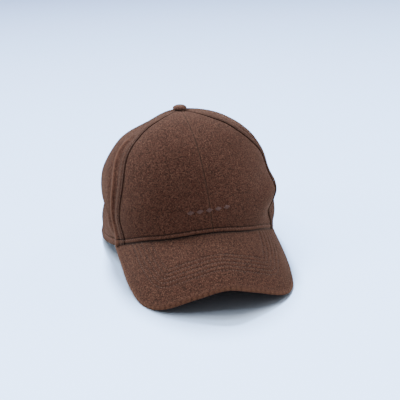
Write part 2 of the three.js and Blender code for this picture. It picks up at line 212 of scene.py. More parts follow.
def noise(tree, vector, scale, detail=2.0, roughness=0.5):
    feeds = dict(Vector=vector, Scale=scale, Detail=detail, Roughness=roughness)
    return add_node(tree, "ShaderNodeTexNoise", feeds).outputs["Fac"]


def rise(tree, value, start, full, most=1.0):
    """0 up to a start, then rising evenly to the most."""
    feeds = {"Value": value, "From Min": start, "From Max": full, "To Max": most}
    return add_node(tree, "ShaderNodeMapRange", feeds).outputs["Result"]


def blend_colour(tree, share, under, over):
    feeds = dict(Factor=share, A=under, B=over)
    return live_output(add_node(tree, "ShaderNodeMix", feeds, data_type="RGBA"))


def bump(tree, height, strength, distance):
    feeds = dict(Height=height, Strength=strength, Distance=distance)
    return add_node(tree, "ShaderNodeBump", feeds).outputs["Normal"]


def new_material(name):
    material = bpy.data.materials.new(name)
    material.use_nodes = True
    return material, material.node_tree, material.node_tree.nodes["Principled BSDF"]


def object_place(tree):
    return add_node(tree, "ShaderNodeTexCoord").outputs["Object"]


# %% The wool material
WOOL_NOISES = dict(
    cloud=dict(scale=45, detail=3),
    mottle=dict(scale=520, detail=3, roughness=0.6),
    grain=dict(scale=900, detail=2, roughness=0.7),
    fibre=dict(scale=1300, detail=1),
)
WOOL_LAYERS = dict(
    mottle=dict(start=0.38, full=0.62),
    grain=dict(start=0.5, full=0.74, most=0.7),
    fibre=dict(start=0.58, full=0.74, most=0.55),
    cloud=dict(start=0.3, full=0.7, most=0.2),
    rub_and_highlight=dict(start=0, full=1, most=0.7),
    crease=dict(start=0, full=1, most=0.96),
)
FIBRE_TURNS = (0.6, -0.9)
FIBRE_TURN_BY_AXIS = (1, 0.5, 1.3)
FIBRE_STRETCH = (1, 0.2, 1)
CREASE_SHADE = 0.25
MOTTLE_RELIEF = 0.8
WOOL_BUMP = dict(strength=0.75, distance=0.5 * MM)
WOOL_FINISH = {
    "Roughness": 0.95, "Specular IOR Level": 0.18,
    "Sheen Weight": 0.25, "Sheen Roughness": 0.45, "Sheen Tint": (0.9, 0.62, 0.5),
}


def wool(name, dark, mid, pale):
    """Brushed wool: two browns mixed, pale flecks and fibres, painted shade in its creases and paler
    ridges, partly rubbed wear and partly painted highlight.
    """
    material, tree, shader = new_material(name)
    place = object_place(tree)

    def texture(kind, vector=place):
        return noise(tree, vector, **WOOL_NOISES[kind])

    def layer(kind, value, colour, over):
        return blend_colour(tree, rise(tree, value, **WOOL_LAYERS[kind]), colour, over)

    mottle, grain = texture("mottle"), texture("grain")
    colour = layer("mottle", mottle, dark, mid)
    colour = layer("grain", grain, colour, pale)
    for turn in FIBRE_TURNS:
        turns = [turn * axis for axis in FIBRE_TURN_BY_AXIS]
        feeds = dict(Vector=place, Rotation=turns, Scale=FIBRE_STRETCH)
        lay = add_node(tree, "ShaderNodeMapping", feeds)
        colour = layer("fibre", texture("fibre", lay.outputs["Vector"]), colour, pale)
    colour = layer("cloud", texture("cloud"), colour, mid)
    # Painted light and shade: one attribute blends the colour paler, partly rubbed wear and partly painted
    # highlight; the other blends it towards a painted shade of the dark brown in creases, grooves and hem
    # edges.
    shade = [CREASE_SHADE * value for value in dark]
    for kind, over in (("rub_and_highlight", pale), ("crease", shade)):
        mark = add_node(tree, "ShaderNodeAttribute", attribute_name=kind)
        colour = layer(kind, mark.outputs["Fac"], colour, over)
    feeds = {0: mottle, 1: MOTTLE_RELIEF, 2: grain}
    relief = add_node(tree, "ShaderNodeMath", feeds, operation="MULTIPLY_ADD")
    normal = bump(tree, relief.outputs[0], **WOOL_BUMP)
    feed(tree, shader, {"Base Color": colour, "Normal": normal, **WOOL_FINISH})
    return material


CROWN_WOOL = wool("crown wool", (0.0178, 0.0056, 0.0038), (0.0635, 0.0219, 0.0149), (0.23, 0.114, 0.078))
PEAK_WOOL = wool("peak wool", (0.0175, 0.0054, 0.0036), (0.061, 0.0211, 0.0137), (0.212, 0.106, 0.069))
BUTTON_WOOL = wool("button wool", (0.024, 0.0084, 0.006), (0.073, 0.0298, 0.0215), (0.235, 0.126, 0.092))
print("wool materials:", [m.name for m in (CROWN_WOOL, PEAK_WOOL, BUTTON_WOOL)])

# %% [markdown]
# ## Sewing thread
# The cap is topstitched in a thread close to the cloth's colour. A thread is two
# plies twisted together, so slanting bands run round it. At this size the twist
# only needs a fine wave in the bump, and thread has more shine than wool.


# %% The thread material
TWIST = dict(Scale=900, Distortion=1.5)
TWIST_BUMP = dict(strength=0.5, distance=0.1 * MM)
THREAD_UNEVENNESS = 600
UNEVEN_RANGE = dict(start=0.3, full=0.7)
THREAD_SHEEN = 0.1


def thread(name, colour, pale, roughness):
    material, tree, shader = new_material(name)
    place = object_place(tree)
    feeds = dict(Vector=place, **TWIST)
    twist = add_node(tree, "ShaderNodeTexWave", feeds, bands_direction="DIAGONAL")
    uneven = rise(tree, noise(tree, place, THREAD_UNEVENNESS), **UNEVEN_RANGE)
    feed(tree, shader, {
        "Base Color": blend_colour(tree, uneven, colour, pale),
        "Normal": bump(tree, twist.outputs["Fac"], **TWIST_BUMP),
        "Roughness": roughness, "Sheen Weight": THREAD_SHEEN,
    })
    return material


BROWN_THREAD = thread("brown thread", (0.085, 0.038, 0.027), (0.16, 0.08, 0.058), roughness=0.55)
MAUVE_THREAD = thread("mauve satin thread", (0.066, 0.029, 0.0245), (0.135, 0.068, 0.059), roughness=0.6)
print("threads:", BROWN_THREAD.name, "and", MAUVE_THREAD.name)

# %% [markdown]
# ## From a grid of points to a piece of cloth
# Every cloth piece here is a grid of points with a small relief.


# %% Mesh helpers
def to_frame(points):
    """Millimetres from the rim's middle to metres in the model's frame."""
    return (np.asarray(points) + RIM_TO_ORIGIN) * MM


def new_piece(name, points, faces, material, values):
    mesh = bpy.data.meshes.new(name)
    mesh.from_pydata(to_frame(points).reshape(-1, 3).tolist(), [], faces)
    for key, numbers in values.items():
        layer = mesh.attributes.new(key, "FLOAT", "POINT")
        layer.data.foreach_set("value", np.asarray(numbers, np.float32).ravel())
    mesh.materials.append(material)
    mesh.shade_smooth()
    piece = bpy.data.objects.new(name, mesh)
    bpy.context.collection.objects.link(piece)
    return piece


def grid_faces(columns, rows, start=0, flip=False):
    faces = []
    for c in range(columns - 1):
        for r in range(rows - 1):
            a = start + c * rows + r
            face = (a, a + rows, a + rows + 1, a + 1)
            faces.append(face[::-1] if flip else face)
    return faces


def shell_faces(columns, rows):
    """Closes an outer grid and the inner grid that follows it into one shell."""
    inside = columns * rows
    faces = grid_faces(columns, rows) + grid_faces(columns, rows, inside, flip=True)
    for c in range(columns - 1):
        low, high = c * rows, c * rows + rows - 1
        faces.append((low, low + inside, low + rows + inside, low + rows))
        faces.append((high, high + rows, high + rows + inside, high + inside))
    for r in range(rows - 1):
        first, last = r, (columns - 1) * rows + r
        faces.append((first, first + 1, first + 1 + inside, first + inside))
        faces.append((last, last + inside, last + 1 + inside, last + 1))
    return faces


def declare(piece, node=None):
    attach(piece, "root")
    if node:
        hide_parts(node)
    print(piece.name, "-", len(piece.data.polygons), "faces")


# %% [markdown]
# ## Crown panels
# Each panel is a gore: wide at the rim and narrow under the button. It is sewn
# to its neighbours with the edges turned in, so a seam is a narrow groove
# between two rounded edges. Beside the two front seams the turned edge is
# pressed backwards and stitched down, which leaves a raised strip, and the soft
# cloth behind it makes a long fold. Rows of points are placed by real distance
# along the cloth, so the hem and the seams keep their width all the way.

# %% Seams and the relief near them
# In each seam, dark is how much painted shade lies along its groove.
SEAMS = dict(
    front_centre=dict(
        up=(0, 0.15, 0.4, 0.7, 1),
        angle=(2.2, 1.2, 0.2, -0.5, -4), round=0.8, depth=0.5, dark=0.6,
    ),
    front_left=dict(
        up=(0, 0.12, 0.25, 0.38, 0.5, 0.6, 0.7, 0.82, 1),
        angle=(57, 57.5, 63, 66.8, 63.8, 60, 58, 50.5, 42), round=1.4, depth=0.7, dark=0.45,
    ),
    back_left=dict(up=(0, 0.5, 1), angle=(121, 118, 121), round=1.2, depth=0.7, dark=0.6),
    back_centre=dict(up=(0, 1), angle=(180, 180), round=1.0, depth=0.6, dark=0.6),
    back_centre_again=dict(up=(0, 1), angle=(-180, -180), round=1.0, depth=0.6, dark=0.6),
    back_right=dict(up=(0, 0.5, 1), angle=(-121, -118, -121), round=1.2, depth=0.7, dark=0.6),
    front_right=dict(
        up=(0, 0.12, 0.26, 0.45, 0.65, 0.82, 1),
        angle=(-57, -62.4, -61.8, -67.3, -71.9, -63.5, -54), round=1.8, depth=0.45, dark=0.35,
    ),
)
TOP_HOLE = 3.4
WALL = 2.0
HEM_HEIGHT = 7.2
HEM_RAISE = 0.7
HEM_STITCH = 6.0
PEAK_SIDES = 67.0
PEAK_TOP_AT_ROOT = 3.0
STRIP_WIDTH = 7.5
STRIP_RAISE = 1.0
STRIP_STITCHES = (1.9, 6.2)
GROOVE_DEPTH = 0.4
GROOVE_WIDTH = 0.6
STITCH_PITCH = 3.0


def seam_angle(seam, v):
    return np.radians(gentle_curve(seam["up"], seam["angle"], v))


def rounded_edge(distance, radius, depth):
    share = np.clip(distance / radius, 0, 1)
    return -depth * (1 - np.sqrt(1 - (1 - share) ** 2))


def step_down(distance, at, width):
    """1 before a place, 0 after it, with a soft edge."""
    share = np.clip((distance - at) / width + 0.5, 0, 1)
    return 1 - share * share * (3 - 2 * share)


def ridge(distance, at, width):
    """1 along a line, fading out on both sides."""
    return np.exp(-(((distance - at) / width) ** 2))


def groove(distance, at):
    return -GROOVE_DEPTH * ridge(distance, at, GROOVE_WIDTH)


# %% [markdown]
# Soft folds are what makes cloth look like cloth. Each one is a ridge or a
# valley along a line up the panel: how far it lies behind the front seam at
# the rim, half way and at the top, how wide it is and how high it stands.

# %% Folds of the two side panels
RIGHT_FOLDS = (
    dict(behind=(10.5, 16, 13), low=-12, high=118, wide=2.8, out=2.2),
    dict(behind=(18, 23, 22), low=6, high=104, wide=4.0, out=-0.8),
    dict(behind=(11, 60, 100), low=-6, high=46, wide=4.0, out=1.3),
)
LEFT_FOLDS = (
    dict(behind=(10, 12, 12), low=-12, high=124, wide=2.6, out=0.9),
    dict(behind=(26, 14, 4), low=8, high=48, wide=5.0, out=0.8),
)
FOLD_FADE_TOP = 24
FOLD_FADE_FOOT = 12
SLOW_WAVE = 0.3
CROSSED_WAVE = 0.2
QUICK_WAVE = 0.08


def fold_relief(folds, behind, up, length):
    """Height of the folds, each on a line through its three distances."""
    out = np.zeros_like(behind)
    share = up / length
    for fold in folds:
        start, half, end = fold["behind"]
        line = start * (1 - share) * (1 - 2 * share) + half * 4 * share * (1 - share)
        line = line + end * share * (2 * share - 1)
        fade = step_down(up, fold["high"], FOLD_FADE_TOP) * (1 - step_down(up, fold["low"], FOLD_FADE_FOOT))
        out += fold["out"] * fade * ridge(behind, line, fold["wide"])
    return out


def drape(points):
    """Shallow unevenness of soft cloth, from crossing waves of unlike lengths in mm."""
    x, y, z = (points[..., i] for i in range(3))
    wave = SLOW_WAVE * np.sin(x / 13 + 0.7 * np.sin(z / 17)) * np.sin(z / 19 + y / 23)
    wave += CROSSED_WAVE * np.sin(y / 9 + z / 11) * np.sin(x / 15 - z / 14 + 1.3)
    return wave + QUICK_WAVE * np.sin(x / 4.1 + y / 5.3) * np.sin(z / 4.7 + y / 6.1)


# %% One panel as a grid
PANEL_COLUMNS = 104
EDGE_BUNCHING = 0.6
HEM_ROWS = 18
HEM_ZONE = 9.2
UPPER_ROWS = 112
DENSE = 420
DENSE_BUNCHING = 1.45


def panel_grid(first, second):
    """Angles and shares of a panel's points, evenly up the cloth, closer at the seams."""
    even = np.linspace(0, 1, PANEL_COLUMNS)
    bunched = 0.5 - 0.5 * np.cos(np.pi * even)
    across = ((1 - EDGE_BUNCHING) * even + EDGE_BUNCHING * bunched)[:, None]
    dense_v = np.linspace(0, 1, DENSE) ** DENSE_BUNCHING
    low, high = seam_angle(first, dense_v), seam_angle(second, dense_v)
    travelled = distances(crown(low + (high - low) * across, dense_v[None, :]), axis=1)
    rise_up = np.concatenate([np.linspace(0, HEM_ZONE, HEM_ROWS)[:-1], np.zeros(UPPER_ROWS)])
    v = np.zeros((PANEL_COLUMNS, len(rise_up)))
    for c in range(PANEL_COLUMNS):
        end = travelled[c, -1] - TOP_HOLE
        rise_up[HEM_ROWS - 1:] = np.linspace(HEM_ZONE, end, UPPER_ROWS)
        v[c] = np.interp(rise_up, travelled[c], dense_v)
    low, high = seam_angle(first, v), seam_angle(second, v)
    return low + (high - low) * across, v


def distances(points, axis):
    """How far each point lies along its line of the grid."""
    steps = np.linalg.norm(np.diff(points, axis=axis), axis=-1)
    shape = list(points.shape[:2])
    shape[axis] = 1
    return np.concatenate([np.zeros(shape), np.cumsum(steps, axis)], axis)


# %% [markdown]
# Three numbers are worked out for each point of the cloth: its relief in
# millimetres, how much shade is painted on it, and how much paler it is
# painted, partly as rubbed wear and partly as painted highlight. Seams, strips
# and the hem each add their own, and the material reads the last two.

# %% Marks of the seams, the strips and the hem
# How dark the painted shade of each mark is, how much paler the cloth is painted, partly rubbed wear and
# partly painted highlight, and how wide each mark is, in mm.
SHADE = dict(row=0.4, strip=0.2, strip_foot=0.4)
RUB_AND_HIGHLIGHT = dict(seam=0.4, strip=0.2, fold=0.7, hem=0.2)
WIDTH = dict(
    seam_rub_and_highlight=0.9, row=0.5, strip_edge=1.4, strip_shade=2.0, strip_foot=0.9, strip_rub_and_highlight=1.8,
    hem_dip=0.6, hem_shade=0.55, rim_shade=1.1, hem_rub_and_highlight=1.8, root_shade=0.8,
)
STRIP_TAPER = 40
STRIP_FOOT = STRIP_WIDTH + 0.5
STRIP_RUB_AND_HIGHLIGHT_PLACE = STRIP_WIDTH - 1.6
FOLD_RUB_AND_HIGHLIGHT_FROM = 1.1
HEM_TOP = HEM_HEIGHT + 0.2
HEM_DIP = 0.5
HEM_GROOVE = 0.6
HEM_RUB_AND_HIGHLIGHT_PLACE = 0.75 * HEM_HEIGHT
ROOT_SHADE_TOP = PEAK_TOP_AT_ROOT + 0.8
ROOT_SHADE_SIDES = dict(at=PEAK_SIDES - 7, width=10)


# Painted shade along the seam's groove; its rounded edges are painted paler, partly rubbed wear and partly
# painted highlight.
def seam_marks(seam, away):
    relief = rounded_edge(away, seam["round"], seam["depth"])
    crease = seam["dark"] * ridge(away, 0, seam["round"])
    rub_and_highlight = RUB_AND_HIGHLIGHT["seam"] * seam["depth"] * ridge(away, seam["round"], WIDTH["seam_rub_and_highlight"])
    return np.array([relief, crease, rub_and_highlight])


# Painted shade over the pressed strip, at its foot and in its stitch grooves; near its edge the cloth is
# painted paler, partly rubbed wear and partly painted highlight.
def strip_marks(near, left_over):
    relief = STRIP_RAISE * step_down(near, STRIP_WIDTH, WIDTH["strip_edge"])
    crease = SHADE["strip"] * step_down(near, STRIP_WIDTH, WIDTH["strip_shade"])
    crease += SHADE["strip_foot"] * ridge(near, STRIP_FOOT, WIDTH["strip_foot"])
    for row in STRIP_STITCHES:
        relief += groove(near, row)
        crease += SHADE["row"] * ridge(near, row, WIDTH["row"])
    rub_and_highlight = RUB_AND_HIGHLIGHT["strip"] * ridge(near, STRIP_RUB_AND_HIGHLIGHT_PLACE, WIDTH["strip_rub_and_highlight"])
    return np.array([relief, crease, rub_and_highlight]) * np.clip(left_over / STRIP_TAPER, 0, 1)


# Painted shade under the hem's upper edge, along the rim and over the peak's root; a paler line on the
# band, partly rubbed wear and partly painted highlight.
def hem_marks(up, angle):
    band = np.clip(np.abs(2 * up / HEM_HEIGHT - 1), 0, 1)
    relief = HEM_RAISE * (1 - band**4) + HEM_GROOVE * groove(up, HEM_STITCH)
    relief -= HEM_DIP * ridge(up, HEM_TOP, WIDTH["hem_dip"])
    crease = ridge(up, HEM_TOP, WIDTH["hem_shade"]) + ridge(up, 0, WIDTH["rim_shade"])
    over_peak = step_down(np.abs(turn_between(angle, 0)), **ROOT_SHADE_SIDES)
    crease += over_peak * step_down(up, ROOT_SHADE_TOP, WIDTH["root_shade"])
    rub_and_highlight = RUB_AND_HIGHLIGHT["hem"] * ridge(up, HEM_RUB_AND_HIGHLIGHT_PLACE, WIDTH["hem_rub_and_highlight"])
    return np.array([relief, crease, rub_and_highlight])


# %% One panel
RIM_CALM = 20
TOP_SEAM_CALM = 25


def make_panel(name, first, second, strip=None, folds=()):
    angle, v = panel_grid(first, second)
    face = crown(angle, v)
    normal = crown_normal(angle, v)
    from_first, up = distances(face, 0), distances(face, 1)
    from_second = from_first[-1:] - from_first
    left_over = up[:, -1:] - up
    marks = seam_marks(first, from_first) + seam_marks(second, from_second) + hem_marks(up, angle)
    fold = np.zeros_like(up)
    if strip:
        near = dict(first=from_first, second=from_second)[strip]
        marks += strip_marks(near, left_over)
        fold = fold_relief(folds, near, up, up[:, -1:])
        # The folds' ridges are painted paler, partly rubbed wear and partly painted highlight.
        marks[2] += RUB_AND_HIGHLIGHT["fold"] * np.clip(fold - FOLD_RUB_AND_HIGHLIGHT_FROM, 0, 1)
    relief, crease, rub_and_highlight = marks
    relief += drape(face) * np.clip(up / RIM_CALM, 0, 1) * np.clip(left_over / TOP_SEAM_CALM, 0, 1)
    outer = face + normal * (relief + fold)[..., None]
    inner = face - normal * (WALL - fold)[..., None]
    inner[:, 0, 2] = face[:, 0, 2]
    outer[:, 0, 2] = face[:, 0, 2]
    crease, rub_and_highlight = np.clip(crease, 0, 1), np.clip(rub_and_highlight, 0, 1)
    plain = np.zeros_like(crease)
    values = dict(crease=np.stack([crease, plain]), rub_and_highlight=np.stack([rub_and_highlight, plain]))
    piece = new_piece(name, np.stack([outer, inner]), shell_faces(*v.shape), CROWN_WOOL, values)
    return piece, dict(
        outer=outer, normal=normal, up=up, first=from_first, second=from_second, crease=crease,
    )


# %% The six panels
PANELS = {
    "front_panel_right": dict(seams=("front_right", "front_centre")),
    "front_panel_left": dict(seams=("front_centre", "front_left")),
    "side_panel_left": dict(seams=("front_left", "back_left"), strip="first", folds=LEFT_FOLDS),
    "back_panel_left": dict(seams=("back_left", "back_centre")),
    "back_panel_right": dict(seams=("back_centre_again", "back_right")),
    "side_panel_right": dict(seams=("back_right", "front_right"), strip="second", folds=RIGHT_FOLDS),
}
cloth = {}
for node, plan in PANELS.items():
    first, second = (SEAMS[seam] for seam in plan["seams"])
    panel, cloth[node] = make_panel(
        node + "_cloth", first, second, plan.get("strip"), plan.get("folds", ())
    )
    declare(panel, node)

# %% [markdown]
# ## Peak
# The peak is a board between two layers of cloth. Its outline is a smooth
# curve, its middle is arched, and rows of stitching run round it parallel to
# the edge. The distance of each point from the edge is measured on the curved
# surface, and that one number places every row, its groove and the fuller
# cloth at the edge.

# %% Sizes of the peak
PEAK_LENGTH = 62.8
PEAK_EDGE = (
    dict(across=0.0, behind=0.0, height=22.3),
    dict(across=26.9, behind=2.7, height=15.5),
    dict(across=57.2, behind=10.8, height=4.4),
    dict(across=70.9, behind=26.0, height=0.9),
    dict(across=78.3, behind=54.8, height=3.8),
)
PEAK_END = math.radians(PEAK_SIDES)
PEAK_END_OUT = 1.0
PEAK_THICK = 3.2
PEAK_TUCK = 0.1
PEAK_LIFT = 0.8
PEAK_CROWNING = 3.5
FIRST_ROW_IN = 20.0
ROW_STEP = 4.6
ROW_COUNT = 5
PEAK_ROWS_IN = tuple(FIRST_ROW_IN + ROW_STEP * row for row in range(ROW_COUNT))
PEAK_COLUMNS = 280
PEAK_STEPS = 76
LIP_STEPS = 8
BESIDE_RIM = 0.02


# %% The peak's outline and surface
def lengths_along(line, power=1):
    """The distance from the start to each point, with each step raised to a power."""
    steps = np.linalg.norm(np.diff(line, axis=0), axis=1) ** power
    return np.concatenate([[0], np.cumsum(steps)])


def between(first, second, start, end, at):
    return ((end - at) * first + (at - start) * second) / (end - start)


def catmull(points, steps=24):
    """A smooth curve through points, with knots spaced by the root of the distance."""
    knots = lengths_along(points, power=0.5)
    curve = []
    for i in range(1, len(points) - 2):
        k, p = knots[i - 1:i + 3], points[i - 1:i + 3]
        for t in np.linspace(k[1], k[2], steps, endpoint=False):
            a = [between(p[j], p[j + 1], k[j], k[j + 1], t) for j in range(3)]
            b = [between(a[j], a[j + 1], k[j], k[j + 2], t) for j in range(2)]
            curve.append(between(b[0], b[1], k[1], k[2], t))
    return np.array(curve + [points[-2]])


def peak_edge():
    foremost = -RIM_HALF_LENGTH - PEAK_LENGTH
    half = [[row["across"], foremost + row["behind"], row["height"]] for row in PEAK_EDGE]
    half.append(rim_point(PEAK_END) + np.array([PEAK_END_OUT, 0, 0]))
    half = np.array(half, float)
    half = np.vstack([half, 2 * half[-1] - half[-2]])
    return catmull(np.vstack([(half * [-1, 1, 1])[:0:-1], half]))


def evenly(curve, count):
    travelled = lengths_along(curve)
    at = np.linspace(0, travelled[-1], count)
    return np.stack([np.interp(at, travelled, curve[:, i]) for i in range(3)], -1)


EDGE = evenly(peak_edge(), PEAK_COLUMNS)
root_angle = np.linspace(-PEAK_END, PEAK_END, PEAK_COLUMNS)
outward = crown_normal(root_angle, np.full(PEAK_COLUMNS, BESIDE_RIM)) * [1, 1, 0]
ROOT = rim_point(root_angle) + unit(outward) * (HEM_RAISE - PEAK_TUCK)
ROOT[:, 2] += PEAK_LIFT
reach = np.linalg.norm(EDGE - ROOT, axis=1)
print("peak's reach at the middle, mm:", round(float(reach[PEAK_COLUMNS // 2]), 1))


# %% The peak's cloth
LIP_SHARE = 0.25
LIP_TURN = 0.97
EDGE_SKIP = 4
TINY = 1e-9
PEAK_GROOVE = 0.45
PEAK_BEAD = 0.35
PEAK_BEAD_IN = 2.6
PEAK_DRAPE = 0.5
PEAK_EDGE_CALM = 2.5
PEAK_ROOT_CALM = 3
PEAK_END_FADE = 14
UNDER_RELIEF = 0.6
UNDER_SWELL = 0.3
ROW_SHADE = 0.5
EDGE_RUB_AND_HIGHLIGHT = 0.6
EDGE_RUB_AND_HIGHLIGHT_IN = 0.6
PEAK_WIDTH = dict(groove=0.8, row=0.65, bead=1.6, edge_rub_and_highlight=1.4, root_shade=1.8)


def peak_marks(inside, from_root, middle):
    """The relief, the painted shade in grooves and at the root, and the paler edge, partly rubbed wear and
    partly painted highlight, as on the panels.
    """
    relief = np.zeros_like(inside)
    crease = np.zeros_like(inside)
    for row in PEAK_ROWS_IN:
        relief -= PEAK_GROOVE * ridge(inside, row, PEAK_WIDTH["groove"])
        crease += ROW_SHADE * ridge(inside, row, PEAK_WIDTH["row"])
    relief += PEAK_BEAD * ridge(inside, PEAK_BEAD_IN, PEAK_WIDTH["bead"])
    relief += PEAK_DRAPE * drape(middle)
    ends = np.clip(reach / PEAK_END_FADE, 0, 1)[:, None]
    crease = np.maximum(crease, ends * ridge(from_root, 0, PEAK_WIDTH["root_shade"]))
    return relief, crease, EDGE_RUB_AND_HIGHLIGHT * ridge(inside, EDGE_RUB_AND_HIGHLIGHT_IN, PEAK_WIDTH["edge_rub_and_highlight"])


def make_peak():
    lip = np.minimum(PEAK_THICK / 2 / reach, LIP_SHARE)[:, None]
    inner_share = np.linspace(0, 1, PEAK_STEPS)[None, :] * (1 - lip)
    turn = np.linspace(0, LIP_TURN, LIP_STEPS + 1)[None, 1:] * np.pi / 2
    share = np.concatenate([inner_share, 1 - lip + lip * np.sin(turn)], 1)
    thick = np.concatenate([np.ones_like(inner_share), np.cos(turn) * np.ones_like(lip)], 1)
    middle = ROOT[:, None] + (EDGE - ROOT)[:, None] * share[..., None]
    arch = PEAK_CROWNING * np.minimum(1, reach / PEAK_LENGTH)[:, None]
    middle[..., 2] += arch * 4 * share * (1 - share)
    around, along = np.gradient(middle, axis=0), np.gradient(middle, axis=1)
    normal = unit(np.cross(along, around))
    normal *= np.sign(normal[..., 2:3] + TINY)
    gaps = np.linalg.norm(middle[:, :, None] - EDGE[None, None, ::EDGE_SKIP], axis=-1)
    inside = gaps.min(-1)
    from_root = share * reach[:, None]
    relief, crease, rub_and_highlight = peak_marks(inside, from_root, middle)
    fade = np.clip(inside / PEAK_EDGE_CALM, 0, 1) * np.clip(from_root / PEAK_ROOT_CALM, 0, 1)
    under_relief = np.minimum(UNDER_SWELL, relief) * UNDER_RELIEF
    half = np.array([0.0, 0.0, PEAK_THICK / 2]) * thick[..., None]
    top = middle + half + normal * (relief * fade)[..., None]
    under = middle - half - normal * (under_relief * fade)[..., None]
    values = dict(crease=np.stack([crease, crease]), rub_and_highlight=np.stack([rub_and_highlight, rub_and_highlight]))
    piece = new_piece("peak_cloth", np.stack([under, top]), shell_faces(*share.shape), PEAK_WOOL, values)
    return piece, dict(top=top, under=under, inside=inside, normal=normal, crease=crease)


peak, peak_cloth = make_peak()
declare(peak, "peak")

# %% [markdown]
# ## Button
# The button is a metal dome covered with the same wool, pulled tight and
# gathered underneath. It is turned about its own axis, with slight pleats
# towards its foot, and it leans with the top of the crown.

# %% The covered button
BUTTON_RADIUS = 7.0
BUTTON_DOME = 4.6
BUTTON_EDGE = 1.1
BUTTON_FOOT_INSET = 0.4
BUTTON_FOOT_RISE = 0.35
BUTTON_SQUARENESS = 0.8
BUTTON_TURNS = 84
BUTTON_RINGS = 18
BUTTON_SHADE_HEIGHT = 0.8
BUTTON_RUB_AND_HIGHLIGHT = 0.4
PLEATS = 14
PLEAT_DEPTH = 0.012
PLEAT_FADE = 1.3
DOUBLES_REACH = 0.004 * MM


def button_profile():
    """Radius and rise of each ring, from the middle of the foot to the top."""
    foot = (BUTTON_RADIUS - BUTTON_FOOT_INSET, BUTTON_FOOT_RISE)
    profile = [(0.0, 0.0), (BUTTON_RADIUS - BUTTON_EDGE, 0.0), foot]
    for turn in np.linspace(0, np.pi / 2, BUTTON_RINGS):
        radius = BUTTON_RADIUS * max(math.cos(turn), 0) ** BUTTON_SQUARENESS
        profile.append((radius, BUTTON_EDGE + (BUTTON_DOME - BUTTON_EDGE) * math.sin(turn)))
    return profile


def weld(piece):
    """Merges points that lie together and turns all faces outwards."""
    shape = bmesh.new()
    shape.from_mesh(piece.data)
    bmesh.ops.remove_doubles(shape, verts=shape.verts, dist=DOUBLES_REACH)
    bmesh.ops.recalc_face_normals(shape, faces=shape.faces)
    shape.to_mesh(piece.data)
    shape.free()
    return piece


def make_button():
    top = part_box("top_button")[1][2] / MM - RIM_TO_ORIGIN[2]
    axis = np.array([0, math.sin(TOP_LEAN), math.cos(TOP_LEAN)])
    foot = BUTTON_PLACE + axis * ((top - BUTTON_PLACE[2]) / axis[2] - BUTTON_DOME)
    profile = button_profile()
    points, faces = [], []
    for radius, height in profile:
        pleating = PLEAT_DEPTH * max(0, 1 - height / BUTTON_DOME * PLEAT_FADE)
        for turn in np.arange(BUTTON_TURNS) / BUTTON_TURNS * 2 * np.pi:
            pleated = radius * (1 + pleating * math.sin(PLEATS * turn))
            points.append((pleated * math.cos(turn), pleated * math.sin(turn), height))
    for ring in range(len(profile) - 1):
        for k in range(BUTTON_TURNS):
            a, b = ring * BUTTON_TURNS + k, ring * BUTTON_TURNS + (k + 1) % BUTTON_TURNS
            faces.append((a, b, b + BUTTON_TURNS, a + BUTTON_TURNS))
    tilt = Vector((0, 0, 1)).rotation_difference(Vector(axis)).to_matrix()
    placed = np.array(points) @ np.array(tilt).T + foot
    heights = np.array(points)[:, 2]
    # Painted shade at the button's foot; paler towards its top, partly rubbed wear and partly painted
    # highlight.
    values = dict(crease=ridge(heights, 0, BUTTON_SHADE_HEIGHT), rub_and_highlight=BUTTON_RUB_AND_HIGHLIGHT * heights / BUTTON_DOME)
    return weld(new_piece("top_button_cloth", placed, faces, BUTTON_WOOL, values))


button = make_button()
declare(button, "top_button")

# %% [markdown]
# ## Stitches
# A sewing machine leaves a row of short, equal stitches that dive into the
# cloth at both ends. Geometry Nodes suit this: the row is a curve, points are
# set along it at an even pitch, and one small stitch is laid on each point
# along the curve. Sizes are inputs of the tree, and a seed varies the length
# and thickness of the stitches slightly.

# %% A node tree that sews along lines
STITCH_SPREAD = dict(Min=0.88, Max=1.08)


def new_tree(name, inputs):
    tree = bpy.data.node_groups.new(name, "GeometryNodeTree")
    tree.interface.new_socket("Geometry", in_out="INPUT", socket_type="NodeSocketGeometry")
    for label, kind, value in inputs:
        socket = tree.interface.new_socket(label, in_out="INPUT", socket_type="NodeSocket" + kind)
        if value is not None:
            socket.default_value = value
    tree.interface.new_socket("Geometry", in_out="OUTPUT", socket_type="NodeSocketGeometry")
    given = add_node(tree, "NodeGroupInput").outputs
    return tree, given, add_node(tree, "NodeGroupOutput")


def lay_shapes(tree, given, end, **feeds):
    """Lays a shape on every point and makes smooth, painted, real faces of them all."""
    made = add_node(tree, "GeometryNodeInstanceOnPoints", feeds).outputs["Instances"]
    for kind in ("RealizeInstances", "SetShadeSmooth"):
        made = add_node(tree, "GeometryNode" + kind, dict(Geometry=made)).outputs["Geometry"]
    feeds = dict(Geometry=made, Material=given["Thread"])
    paint = add_node(tree, "GeometryNodeSetMaterial", feeds)
    feed(tree, end, dict(Geometry=paint.outputs["Geometry"]))
    return tree


def small_ball(tree, segments, rings):
    feeds = dict(Segments=segments, Rings=rings, Radius=0.5)
    return add_node(tree, "GeometryNodeMeshUVSphere", feeds).outputs["Mesh"]


def three_sizes(tree, x, y, z):
    return add_node(tree, "ShaderNodeCombineXYZ", dict(X=x, Y=y, Z=z)).outputs["Vector"]


def align(tree, feeds, **settings):
    node = add_node(tree, "FunctionNodeAlignRotationToVector", feeds, **settings)
    return node.outputs["Rotation"]


